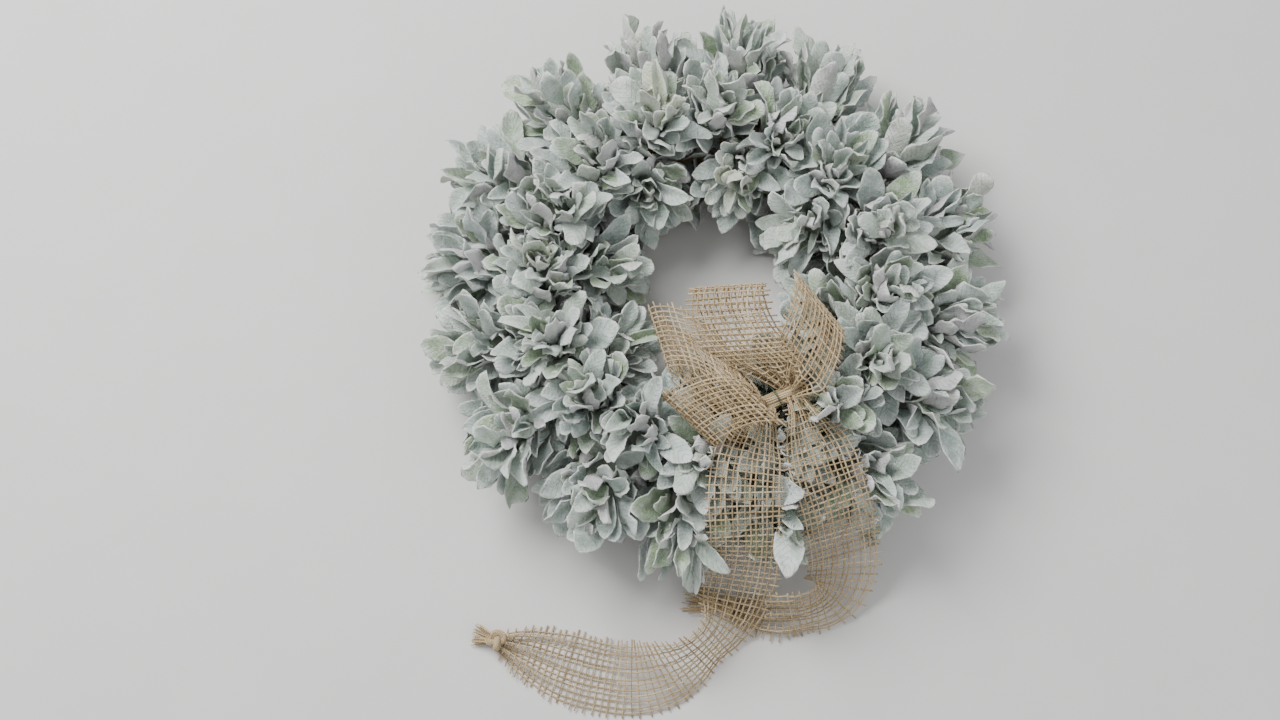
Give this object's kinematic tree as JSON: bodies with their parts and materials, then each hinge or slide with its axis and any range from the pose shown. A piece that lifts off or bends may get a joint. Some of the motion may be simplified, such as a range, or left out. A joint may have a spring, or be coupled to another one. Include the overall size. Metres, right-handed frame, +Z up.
{
  "type": "leaf wreath with ribbon bow",
  "caption": "Round wreath of felted silver-green leaf sprigs wired to a straw ring, with a jute mesh ribbon bow and two knotted tails, lying on its back.",
  "frame": {"origin": "on the surface under the middle of the whole part's footprint, tails included", "axes": "+Z up out of the surface, +X to the right and +Y to the top of the wreath as it is seen from above"},
  "size_m": [0.4466, 0.5326, 0.1286],
  "materials": {
    "leaf": "soft felted leaf, silver green",
    "straw": "dry bound straw",
    "jute": "open jute mesh",
    "wire": "dull green lacquer"
  },
  "bodies": {
    "root": {"binding_wire": "wire", "bow_wire": "wire", "jute_ribbon": "jute", "sprig_crown_01": "leaf", "sprig_crown_02": "leaf", "sprig_crown_03": "leaf", "sprig_crown_04": "leaf", "sprig_crown_05": "leaf", "sprig_crown_06": "leaf", "sprig_crown_07": "leaf", "sprig_crown_08": "leaf", "sprig_crown_09": "leaf", "sprig_crown_10": "leaf", "sprig_crown_11": "leaf", "sprig_crown_12": "leaf", "sprig_crown_13": "leaf", "sprig_crown_14": "leaf", "sprig_crown_15": "leaf", "sprig_crown_16": "leaf", "sprig_inner_01": "leaf", "sprig_inner_03": "leaf", "sprig_inner_05": "leaf", "sprig_inner_07": "leaf", "sprig_inner_09": "leaf", "sprig_inner_11": "leaf", "sprig_inner_13": "leaf", "sprig_inner_15": "leaf", "sprig_outer_01": "leaf", "sprig_outer_02": "leaf", "sprig_outer_03": "leaf", "sprig_outer_04": "leaf", "sprig_outer_05": "leaf", "sprig_outer_06": "leaf", "sprig_outer_07": "leaf", "sprig_outer_08": "leaf", "sprig_outer_09": "leaf", "sprig_outer_10": "leaf", "sprig_outer_11": "leaf", "sprig_outer_12": "leaf", "sprig_outer_13": "leaf", "sprig_outer_14": "leaf", "sprig_outer_15": "leaf", "sprig_outer_16": "leaf", "straw_ring": "straw"}
  },
  "joints": []
}
